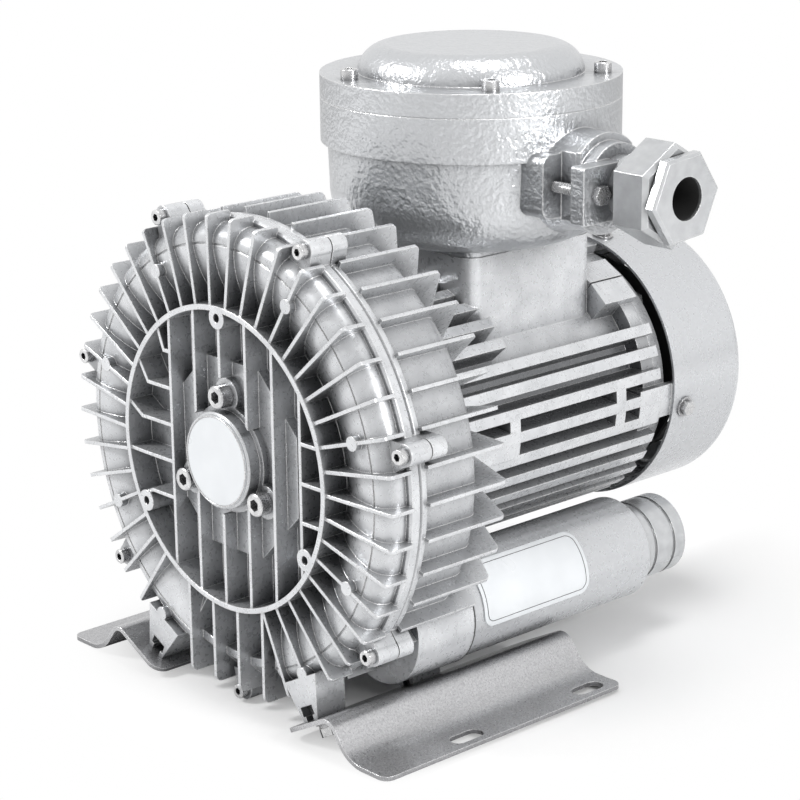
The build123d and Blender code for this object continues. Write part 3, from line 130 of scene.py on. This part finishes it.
def lay_floor():
    reach = 6.0
    mesh = bpy.data.meshes.new("floor")
    height = cad_box[0][2]
    corners = [(x * reach, y * reach, height) for x, y in ((-1, -1), (1, -1), (1, 1), (-1, 1))]
    mesh.from_pydata(corners, [], [(0, 1, 2, 3)])
    floor = bpy.data.objects.new("floor", mesh)
    bpy.context.scene.collection.objects.link(floor)
    paint = bpy.data.materials.new("pale_floor")
    paint.use_nodes = True
    tree = paint.node_tree
    shader = tree.nodes["Principled BSDF"]
    shader.inputs["Base Color"].default_value = (0.93, 0.93, 0.93, 1.0)
    shader.inputs["Roughness"].default_value = 0.85
    # Away from the object the floor fades into the white background
    glow = tree.nodes.new("ShaderNodeEmission")
    mix = tree.nodes.new("ShaderNodeMixShader")
    place = tree.nodes.new("ShaderNodeTexCoord")
    centred = tree.nodes.new("ShaderNodeMapping")
    centred.inputs["Location"].default_value = (0.0, -0.17, -height)
    centred.inputs["Scale"].default_value = (1.0, 0.85, 1.0)
    far = tree.nodes.new("ShaderNodeVectorMath")
    far.operation = "LENGTH"
    fade = tree.nodes.new("ShaderNodeMapRange")
    fade.interpolation_type = "SMOOTHSTEP"
    fade.inputs["From Min"].default_value = 0.12
    fade.inputs["From Max"].default_value = 0.23
    ray = tree.nodes.new("ShaderNodeLightPath")
    shown = tree.nodes.new("ShaderNodeMath")
    shown.operation = "MULTIPLY"
    tree.links.new(place.outputs["Object"], centred.inputs["Vector"])
    tree.links.new(centred.outputs["Vector"], far.inputs[0])
    tree.links.new(far.outputs["Value"], fade.inputs["Value"])
    tree.links.new(fade.outputs["Result"], shown.inputs[0])
    tree.links.new(ray.outputs["Is Camera Ray"], shown.inputs[1])
    tree.links.new(shown.outputs["Value"], mix.inputs["Fac"])
    tree.links.new(shader.outputs["BSDF"], mix.inputs[1])
    tree.links.new(glow.outputs["Emission"], mix.inputs[2])
    tree.links.new(mix.outputs["Shader"], tree.nodes["Material Output"].inputs["Surface"])
    floor.data.materials.append(paint)


# Finishes
class Finish:
    """One procedural material on Object coordinates, built up a layer at a time."""

    def __init__(self, name, colour, metallic, roughness):
        self.material = bpy.data.materials.new(name)
        self.material.use_nodes = True
        self.tree = self.material.node_tree
        self.shader = self.tree.nodes["Principled BSDF"]
        self.shader.inputs["Base Color"].default_value = (*colour, 1.0)
        self.shader.inputs["Metallic"].default_value = metallic
        self.shader.inputs["Roughness"].default_value = roughness
        self.place = self.tree.nodes.new("ShaderNodeTexCoord").outputs["Object"]
        self.plain = colour
        self.colour = None
        self.normal = None

    def noise(self, size, detail=2.0, stretch=(1.0, 1.0, 1.0)):
        """Noise whose lumps are about size metres across."""
        source = self.place
        if stretch != (1.0, 1.0, 1.0):
            mapping = self.tree.nodes.new("ShaderNodeMapping")
            mapping.inputs["Scale"].default_value = stretch
            self.tree.links.new(self.place, mapping.inputs["Vector"])
            source = mapping.outputs["Vector"]
        lumps = self.tree.nodes.new("ShaderNodeTexNoise")
        lumps.inputs["Scale"].default_value = 1.0 / size
        lumps.inputs["Detail"].default_value = detail
        self.tree.links.new(source, lumps.inputs["Vector"])
        return lumps.outputs["Fac"]

    def cells(self, size):
        """Distance to the middle of the nearest cell, for a hammered surface or foam."""
        dimples = self.tree.nodes.new("ShaderNodeTexVoronoi")
        dimples.feature = "SMOOTH_F1"
        dimples.inputs["Scale"].default_value = 1.0 / size
        dimples.inputs["Smoothness"].default_value = 0.8
        self.tree.links.new(self.place, dimples.inputs["Vector"])
        return dimples.outputs["Distance"]

    def spread(self, value, low, high, start=0.3, end=0.7):
        """The value stretched to run from low to high."""
        span = self.tree.nodes.new("ShaderNodeMapRange")
        span.inputs["From Min"].default_value = start
        span.inputs["From Max"].default_value = end
        span.inputs["To Min"].default_value = low
        span.inputs["To Max"].default_value = high
        self.tree.links.new(value, span.inputs["Value"])
        return span.outputs["Result"]

    def colours(self, value, dark, light, start=0.3, end=0.7):
        """Colours between dark and light, by the value."""
        ramp = self.tree.nodes.new("ShaderNodeValToRGB")
        ramp.color_ramp.elements[0].position = start
        ramp.color_ramp.elements[0].color = (*dark, 1.0)
        ramp.color_ramp.elements[1].position = end
        ramp.color_ramp.elements[1].color = (*light, 1.0)
        self.tree.links.new(value, ramp.inputs["Fac"])
        self.show(ramp.outputs["Color"])

    def show(self, colour):
        self.colour = colour
        self.tree.links.new(colour, self.shader.inputs["Base Color"])

    def overlay(self, amount, colour):
        """Lays a plain colour over the present one, by the amount."""
        mix = self.tree.nodes.new("ShaderNodeMix")
        mix.data_type = "RGBA"
        mix.inputs["A"].default_value = (*self.plain, 1.0)
        mix.inputs["B"].default_value = (*colour, 1.0)
        if self.colour is not None:
            self.tree.links.new(self.colour, mix.inputs["A"])
        self.tree.links.new(amount, mix.inputs["Factor"])
        self.show(mix.outputs["Result"])

    def paint_hollow_shade(self, reach, colour, strength):
        """Darkens hollows that are narrower than the reach with a painted shade colour, by ambient
        occlusion.
        """
        hidden = self.tree.nodes.new("ShaderNodeAmbientOcclusion")
        hidden.samples = 8
        hidden.inputs["Distance"].default_value = reach
        self.overlay(self.spread(hidden.outputs["AO"], strength, 0.0, 0.25, 0.95), colour)

    def gloss(self, value, low, high):
        """Roughness between low and high, by the value."""
        self.tree.links.new(self.spread(value, low, high), self.shader.inputs["Roughness"])

    def soften_edges(self, radius, edge_highlight=None):
        """Rounds the look of edges, and where a highlight colour is given, paints the edges that
        colour as a painted highlight.
        """
        round_off = self.tree.nodes.new("ShaderNodeBevel")
        round_off.samples = 4
        round_off.inputs["Radius"].default_value = radius
        self.normal = round_off.outputs["Normal"]
        self.tree.links.new(self.normal, self.shader.inputs["Normal"])
        if edge_highlight is not None:
            flat = self.tree.nodes.new("ShaderNodeNewGeometry")
            agree = self.tree.nodes.new("ShaderNodeVectorMath")
            agree.operation = "DOT_PRODUCT"
            self.tree.links.new(self.normal, agree.inputs[0])
            self.tree.links.new(flat.outputs["Normal"], agree.inputs[1])
            # Edges, where the rounded normal turns away from the flat one, get the lighter colour as
            # a painted highlight.
            self.overlay(self.spread(agree.outputs["Value"], 1.0, 0.0, 0.80, 0.985), edge_highlight)

    def relief(self, value, depth, strength=1.0):
        """Bumps of about depth metres, laid over the earlier ones."""
        bump = self.tree.nodes.new("ShaderNodeBump")
        bump.inputs["Distance"].default_value = depth
        bump.inputs["Strength"].default_value = strength
        self.tree.links.new(value, bump.inputs["Height"])
        if self.normal is not None:
            self.tree.links.new(self.normal, bump.inputs["Normal"])
        self.normal = bump.outputs["Normal"]
        self.tree.links.new(self.normal, self.shader.inputs["Normal"])


def make_finishes():
    finishes = {}

    # In each finish below, the darkened hollows are painted shade and the pale edge colour is a
    # painted highlight.
    cast = Finish("cast_silver", (0.52, 0.53, 0.54), 0.50, 0.34)
    cast.colours(cast.noise(0.012, 3.0), (0.55, 0.56, 0.575), (0.67, 0.68, 0.695))
    cast.paint_hollow_shade(0.018, (0.05, 0.052, 0.058), 0.80)
    cast.gloss(cast.noise(0.003, 2.0), 0.24, 0.36)
    cast.soften_edges(0.0008, (0.88, 0.88, 0.88))
    cast.relief(cast.noise(0.0030, 1.0), 0.00008, 0.6)
    finishes["cast_silver"] = cast.material

    hammered = Finish("hammered_silver", (0.56, 0.57, 0.585), 0.85, 0.29)
    hammered.paint_hollow_shade(0.014, (0.10, 0.103, 0.11), 0.80)
    hammered.soften_edges(0.0012, (0.80, 0.80, 0.80))
    hammered.relief(hammered.noise(0.0080, 1.0), 0.0012, 0.5)
    hammered.relief(hammered.noise(0.0024, 1.0), 0.0007, 0.8)
    finishes["box_silver"] = hammered.material

    smooth = Finish("smooth_silver", (0.50, 0.51, 0.52), 0.55, 0.32)
    smooth.colours(smooth.noise(0.0012, 1.0), (0.54, 0.55, 0.565), (0.58, 0.59, 0.605))
    smooth.paint_hollow_shade(0.020, (0.09, 0.093, 0.10), 0.85)
    smooth.gloss(smooth.noise(0.004, 1.0), 0.26, 0.31)
    smooth.soften_edges(0.0006)
    finishes["silencer_silver"] = smooth.material

    sheet = Finish("speckled_sheet", (0.46, 0.46, 0.47), 0.75, 0.3)
    sheet.colours(sheet.noise(0.0010, 1.0), (0.42, 0.42, 0.43), (0.53, 0.53, 0.54), 0.35, 0.65)
    sheet.paint_hollow_shade(0.018, (0.06, 0.06, 0.065), 0.85)
    sheet.gloss(sheet.noise(0.0012, 2.0), 0.24, 0.40)
    sheet.soften_edges(0.0005, (0.88, 0.88, 0.88))
    finishes["rail_steel"] = sheet.material

    zinc = Finish("bright_zinc", (0.60, 0.60, 0.61), 0.85, 0.26)
    zinc.colours(zinc.noise(0.004, 3.0), (0.46, 0.46, 0.47), (0.68, 0.68, 0.68))
    zinc.paint_hollow_shade(0.005, (0.04, 0.04, 0.045), 0.9)
    zinc.gloss(zinc.noise(0.001, 3.0), 0.20, 0.36)
    zinc.soften_edges(0.0003, (0.85, 0.85, 0.85))
    finishes["zinc_steel"] = zinc.material

    turned = Finish("turned_aluminium", (0.55, 0.56, 0.57), 0.7, 0.26)
    turned.colours(turned.noise(0.0060, 2.0), (0.50, 0.51, 0.52), (0.58, 0.59, 0.60))
    turned.paint_hollow_shade(0.008, (0.08, 0.08, 0.085), 0.75)
    turned.soften_edges(0.0005, (0.88, 0.88, 0.88))
    finishes["bare_aluminium"] = turned.material

    stack = Finish("sheet_stack", (0.30, 0.30, 0.32), 0.9, 0.45)
    stack.colours(stack.noise(0.0012, 1.0, (0.05, 1.0, 0.05)), (0.18, 0.18, 0.20), (0.38, 0.38, 0.40))
    finishes["lamination_steel"] = stack.material

    copper = Finish("varnished_copper", (0.60, 0.28, 0.12), 0.8, 0.35)
    copper.colours(copper.noise(0.002, 2.0), (0.40, 0.16, 0.06), (0.68, 0.34, 0.16))
    copper.relief(copper.noise(0.0012, 1.0), 0.0004, 0.8)
    finishes["copper_winding"] = copper.material

    ground = Finish("ground_steel", (0.58, 0.58, 0.60), 1.0, 0.25)
    ground.gloss(ground.noise(0.001, 2.0, (1.0, 0.2, 1.0)), 0.18, 0.34)
    finishes["shaft_steel"] = ground.material
    finishes["bearing_steel"] = ground.material

    rubber = Finish("black_rubber", (0.03, 0.03, 0.03), 0.0, 0.7)
    rubber.relief(rubber.noise(0.001, 2.0), 0.0001, 0.5)
    finishes["black_rubber"] = rubber.material

    fibre = Finish("seal_fibre", (0.62, 0.63, 0.62), 0.0, 0.6)
    fibre.colours(fibre.noise(0.002, 2.0), (0.52, 0.53, 0.52), (0.66, 0.67, 0.66))
    finishes["seal_fibre"] = fibre.material

    plastic = Finish("black_plastic", (0.03, 0.03, 0.032), 0.0, 0.42)
    plastic.relief(plastic.noise(0.001, 2.0), 0.0001, 0.5)
    finishes["black_plastic"] = plastic.material

    foam = Finish("grey_foam", (0.10, 0.10, 0.11), 0.0, 0.95)
    foam.relief(foam.cells(0.0025), 0.001, 1.0)
    finishes["grey_foam"] = foam.material

    plate = Finish("blank_plate", (0.72, 0.74, 0.76), 0.15, 0.30)
    plate.colours(plate.noise(0.02, 2.0), (0.70, 0.72, 0.74), (0.75, 0.77, 0.79))
    plate.gloss(plate.noise(0.03, 2.0), 0.26, 0.34)
    finishes["blank_plate"] = plate.material

    moulding = Finish("board_moulding", (0.62, 0.56, 0.44), 0.0, 0.5)
    moulding.colours(moulding.noise(0.004, 2.0), (0.54, 0.48, 0.37), (0.66, 0.60, 0.48))
    finishes["board_plastic"] = moulding.material
    return finishes


def dress_nodes(finishes):
    slots = {entry["node"]: entry["material_slot"] for entry in frame["record"]["subparts"]}
    for node, piece in frame["nodes"].items():
        piece.data.materials.clear()
        piece.data.materials.append(finishes[slots[node]])


# Small pieces
class Shaper:
    """A Geometry Nodes tree whose sizes are named inputs."""

    def __init__(self, name, sizes):
        self.name = name
        self.sizes = sizes
        self.tree = bpy.data.node_groups.new(name, "GeometryNodeTree")
        self.tree.interface.new_socket("Geometry", in_out="OUTPUT", socket_type="NodeSocketGeometry")
        for label, value in sizes.items():
            kind = "NodeSocketInt" if isinstance(value, int) else "NodeSocketFloat"
            self.tree.interface.new_socket(label, in_out="INPUT", socket_type=kind)
        self.entry = self.tree.nodes.new("NodeGroupInput")

    def size(self, label):
        return self.entry.outputs[label]

    def node(self, kind, sources, **settings):
        """A node of that kind, with its inputs linked or set by name or place."""
        made = self.tree.nodes.new(kind)
        for setting, value in settings.items():
            setattr(made, setting, value)
        for key, source in sources.items():
            if isinstance(source, bpy.types.NodeSocket):
                self.tree.links.new(source, made.inputs[key])
            else:
                made.inputs[key].default_value = source
        return made.outputs[0]

    def wire(self, path, thickness):
        """A round wire along the path."""
        round_section = self.node("GeometryNodeCurvePrimitiveCircle", {
            "Resolution": 6, "Radius": thickness})
        return self.node("GeometryNodeCurveToMesh", {
            "Curve": path, "Profile Curve": round_section, "Fill Caps": True})

    def piece(self, geometry, finish, slot, place):
        """The tree's result as a plain mesh on the housing."""
        real = self.node("GeometryNodeRealizeInstances", {"Geometry": geometry})
        coated = self.node("GeometryNodeSetMaterial", {"Geometry": real, "Material": finish})
        out = self.tree.nodes.new("NodeGroupOutput")
        self.tree.links.new(coated, out.inputs["Geometry"])
        made = bpy.data.objects.new(self.name, bpy.data.meshes.new(self.name))
        bpy.context.scene.collection.objects.link(made)
        shaping = made.modifiers.new(self.name, "NODES")
        shaping.node_group = self.tree
        for item in self.tree.interface.items_tree:
            if item.in_out == "INPUT":
                shaping[item.identifier] = self.sizes[item.name]
        seen = bpy.context.evaluated_depsgraph_get()
        plain = bpy.data.meshes.new_from_object(made.evaluated_get(seen))
        made.modifiers.clear()
        made.data = plain
        plain.name = self.name
        plain.transform(place)
        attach(made, "housing")


def cut_screw_threads(finishes):
    """Threads on the bare shanks of the gland flange's two screws."""
    shaper = Shaper("gland_screw_threads", {
        "Turns": 22.0, "Radius": 0.0030, "Length": 0.0225, "Wire": 0.00028,
        "Spacing": SCREW_SPACING, "Screws": 2})
    helix = shaper.node("GeometryNodeCurveSpiral", {
        "Resolution": 20, "Rotations": shaper.size("Turns"), "Start Radius": shaper.size("Radius"),
        "End Radius": shaper.size("Radius"), "Height": shaper.size("Length")})
    thread = shaper.wire(helix, shaper.size("Wire"))
    step = shaper.node("ShaderNodeCombineXYZ", {"Y": shaper.size("Spacing")})
    row = shaper.node("GeometryNodeMeshLine", {
        "Count": shaper.size("Screws"), "Offset": step}, mode="OFFSET")
    both = shaper.node("GeometryNodeInstanceOnPoints", {"Points": row, "Instance": thread})
    # The helix climbs along +Z, so it is laid along +X
    along, across, height = SCREW_START
    laid = Matrix(((0, 0, 1, along), (0, 1, 0, across), (-1, 0, 0, height), (0, 0, 0, 1)))
    shaper.piece(both, finishes["zinc_steel"], "zinc_steel", laid)


def line_label(finishes):
    """A thin dark line round the blank label, on the silencer's round."""
    shaper = Shaper("label_line", {
        "Length": 0.079, "Width": 0.0322, "Corner": 0.0048,
        "Round": SILENCER_ROUND + LABEL_SHEET, "Wire": 0.00022})
    outline = shaper.node("GeometryNodeCurvePrimitiveQuadrilateral", {
        "Width": shaper.size("Length"), "Height": shaper.size("Width")})
    rounded = shaper.node("GeometryNodeFilletCurve", {
        "Curve": outline, "Radius": shaper.size("Corner"), "Count": 8}, mode="POLY")
    fine = shaper.node("GeometryNodeResampleCurve", {"Curve": rounded, "Count": 200})
    spot = shaper.node("GeometryNodeInputPosition", {})
    split = shaper.tree.nodes.new("ShaderNodeSeparateXYZ")
    shaper.tree.links.new(spot, split.inputs["Vector"])
    # The height over the axis is the root of the round squared less the way across squared
    away, radius = split.outputs["Y"], shaper.size("Round")
    across = shaper.node("ShaderNodeMath", {0: away, 1: away}, operation="MULTIPLY")
    outer = shaper.node("ShaderNodeMath", {0: radius, 1: radius}, operation="MULTIPLY")
    rest = shaper.node("ShaderNodeMath", {0: outer, 1: across}, operation="SUBTRACT")
    height = shaper.node("ShaderNodeMath", {0: rest, 1: 0.5}, operation="POWER")
    lift = shaper.node("ShaderNodeCombineXYZ", {"Z": height})
    wrapped = shaper.node("GeometryNodeSetPosition", {"Geometry": fine, "Offset": lift})
    line = shaper.wire(wrapped, shaper.size("Wire"))
    sine, cosine = math.sin(LABEL_TURN), math.cos(LABEL_TURN)
    x, y, z = SILENCER_MIDDLE
    laid = Matrix(((0, -sine, cosine, x), (1, 0, 0, y), (0, cosine, sine, z), (0, 0, 0, 1)))
    shaper.piece(line, finishes["black_plastic"], "black_plastic", laid)


def rim_badge(finishes):
    """A fine raised rim round the bare badge."""
    badge = frame["nodes"]["badge_disc"].data
    front = min(point.co.y for point in badge.vertices)
    shaper = Shaper("badge_rim", {"Radius": 0.0252, "Wire": 0.0005})
    ring = shaper.node("GeometryNodeCurvePrimitiveCircle", {
        "Resolution": 120, "Radius": shaper.size("Radius")})
    rim = shaper.wire(ring, shaper.size("Wire"))
    laid = Matrix(((1, 0, 0, 0), (0, 0, -1, front), (0, 1, 0, 0), (0, 0, 0, 1)))
    shaper.piece(rim, finishes["zinc_steel"], "zinc_steel", laid)


place_camera()
light_studio()
lay_floor()
finishes = make_finishes()
dress_nodes(finishes)
cut_screw_threads(finishes)
line_label(finishes)
rim_badge(finishes)

bpy.context.scene.view_settings.view_transform = "Standard"
